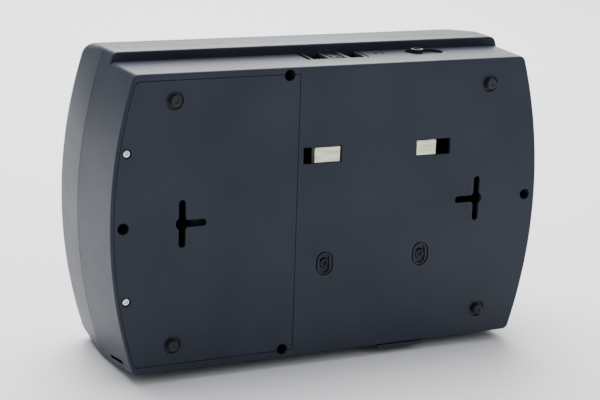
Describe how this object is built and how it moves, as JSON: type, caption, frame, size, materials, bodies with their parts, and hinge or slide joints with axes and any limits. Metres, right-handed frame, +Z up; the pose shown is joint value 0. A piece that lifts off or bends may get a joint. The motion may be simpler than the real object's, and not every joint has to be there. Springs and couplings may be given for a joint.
{
  "type": "punch time clock",
  "caption": "Barrel-sided time clock with display, keypad and fingerprint reader, a rear connector shelf, a battery cover and wall keyholes.",
  "frame": {"origin": "middle of the base, under the centre of the bounding box", "axes": "+X to the right seen from the front, +Y towards the rear face, +Z up"},
  "size_m": [0.3254, 0.1116, 0.215],
  "materials": {
    "housing": "fine-grained black moulding",
    "fascia": "smooth black",
    "screen_glass": "dark tinted glass",
    "display_panel": "glass-faced panel in a light frame",
    "zinc": "zinc-plated sheet",
    "reader": "smooth dark window",
    "circuit_board": "green solder mask",
    "bezel": "satin grey",
    "sensor_glass": "clear glass",
    "black_part": "moulded black",
    "light_pipe": "clear light pipe",
    "silicone": "soft grey",
    "bright_steel": "bright plated",
    "black_steel": "black oxide",
    "foot_rubber": "black rubber",
    "ribbon": "flat ribbon",
    "terminal": "dark green-grey moulding",
    "relay_case": "blue case",
    "battery_case": "dark grey case",
    "key_plastic": "light grey caps",
    "wire": "insulated wire"
  },
  "bodies": {
    "case": {"front_housing": "housing", "rear_housing": "housing", "rear_cover": "housing", "front_panel": "fascia", "display_lens": "screen_glass", "display_module": "display_panel", "display_frame": "zinc", "reader_window": "reader", "reader_board": "circuit_board", "sensor_bezel": "bezel", "sensor_glass": "sensor_glass", "sensor_module": "black_part", "indicator_lens": "light_pipe", "keypad_mat": "silicone", "keypad_board": "circuit_board", "speaker": "black_part", "main_board": "circuit_board", "board_chips": "black_part", "coin_cell": "bright_steel", "board_screws": "bright_steel", "display_ribbon": "ribbon", "keypad_ribbon": "ribbon", "cover_screws": "bright_steel", "case_screws": "black_steel", "rubber_feet": "foot_rubber", "hook_plate": "zinc", "pocket_screws": "black_steel", "pocket_nuts": "bright_steel", "flap_pin": "bright_steel", "usb_port": "bright_steel", "usb_board": "circuit_board", "connector_board": "circuit_board", "network_jack": "black_part", "line_jack": "black_part", "terminal_block": "terminal", "terminal_screws": "bright_steel", "power_jack": "black_part", "relay": "relay_case", "capacitors": "black_part", "battery_pack": "battery_case", "battery_tray": "housing", "battery_straps": "zinc", "battery_lead": "wire"},
    "flap": {"service_flap": "housing"},
    "key_1": {"key_1": "key_plastic"},
    "key_2": {"key_2": "key_plastic"},
    "key_3": {"key_3": "key_plastic"},
    "key_up": {"key_up": "key_plastic"},
    "key_4": {"key_4": "key_plastic"},
    "key_5": {"key_5": "key_plastic"},
    "key_6": {"key_6": "key_plastic"},
    "key_down": {"key_down": "key_plastic"},
    "key_7": {"key_7": "key_plastic"},
    "key_8": {"key_8": "key_plastic"},
    "key_9": {"key_9": "key_plastic"},
    "key_menu": {"key_menu": "key_plastic"},
    "key_clear": {"key_clear": "key_plastic"},
    "key_0": {"key_0": "key_plastic"},
    "key_enter": {"key_enter": "key_plastic"},
    "key_power": {"key_power": "key_plastic"}
  },
  "joints": [
    {"name": "key_1_press", "type": "slide", "parent": "case", "child": "key_1", "axis": [0, 1, 0], "range_m": [0, 0.0012], "stiffness_N_per_m": 500, "springref_m": -0.0005},
    {"name": "key_2_press", "type": "slide", "parent": "case", "child": "key_2", "axis": [0, 1, 0], "range_m": [0, 0.0012], "stiffness_N_per_m": 500, "springref_m": -0.0005},
    {"name": "key_3_press", "type": "slide", "parent": "case", "child": "key_3", "axis": [0, 1, 0], "range_m": [0, 0.0012], "stiffness_N_per_m": 500, "springref_m": -0.0005},
    {"name": "key_up_press", "type": "slide", "parent": "case", "child": "key_up", "axis": [0, 1, 0], "range_m": [0, 0.0012], "stiffness_N_per_m": 500, "springref_m": -0.0005},
    {"name": "key_4_press", "type": "slide", "parent": "case", "child": "key_4", "axis": [0, 1, 0], "range_m": [0, 0.0012], "stiffness_N_per_m": 500, "springref_m": -0.0005},
    {"name": "key_5_press", "type": "slide", "parent": "case", "child": "key_5", "axis": [0, 1, 0], "range_m": [0, 0.0012], "stiffness_N_per_m": 500, "springref_m": -0.0005},
    {"name": "key_6_press", "type": "slide", "parent": "case", "child": "key_6", "axis": [0, 1, 0], "range_m": [0, 0.0012], "stiffness_N_per_m": 500, "springref_m": -0.0005},
    {"name": "key_down_press", "type": "slide", "parent": "case", "child": "key_down", "axis": [0, 1, 0], "range_m": [0, 0.0012], "stiffness_N_per_m": 500, "springref_m": -0.0005},
    {"name": "key_7_press", "type": "slide", "parent": "case", "child": "key_7", "axis": [0, 1, 0], "range_m": [0, 0.0012], "stiffness_N_per_m": 500, "springref_m": -0.0005},
    {"name": "key_8_press", "type": "slide", "parent": "case", "child": "key_8", "axis": [0, 1, 0], "range_m": [0, 0.0012], "stiffness_N_per_m": 500, "springref_m": -0.0005},
    {"name": "key_9_press", "type": "slide", "parent": "case", "child": "key_9", "axis": [0, 1, 0], "range_m": [0, 0.0012], "stiffness_N_per_m": 500, "springref_m": -0.0005},
    {"name": "key_menu_press", "type": "slide", "parent": "case", "child": "key_menu", "axis": [0, 1, 0], "range_m": [0, 0.0012], "stiffness_N_per_m": 500, "springref_m": -0.0005},
    {"name": "key_clear_press", "type": "slide", "parent": "case", "child": "key_clear", "axis": [0, 1, 0], "range_m": [0, 0.0012], "stiffness_N_per_m": 500, "springref_m": -0.0005},
    {"name": "key_0_press", "type": "slide", "parent": "case", "child": "key_0", "axis": [0, 1, 0], "range_m": [0, 0.0012], "stiffness_N_per_m": 500, "springref_m": -0.0005},
    {"name": "key_enter_press", "type": "slide", "parent": "case", "child": "key_enter", "axis": [0, 1, 0], "range_m": [0, 0.0012], "stiffness_N_per_m": 500, "springref_m": -0.0005},
    {"name": "key_power_press", "type": "slide", "parent": "case", "child": "key_power", "axis": [0, 1, 0], "range_m": [0, 0.0012], "stiffness_N_per_m": 500, "springref_m": -0.0005},
    {"name": "flap_hinge", "type": "hinge", "parent": "case", "child": "flap", "pos_m": [-0.05465, 0.01825, 0.0043], "axis": [-1, 0, 0], "range_deg": [0, 100]}
  ]
}
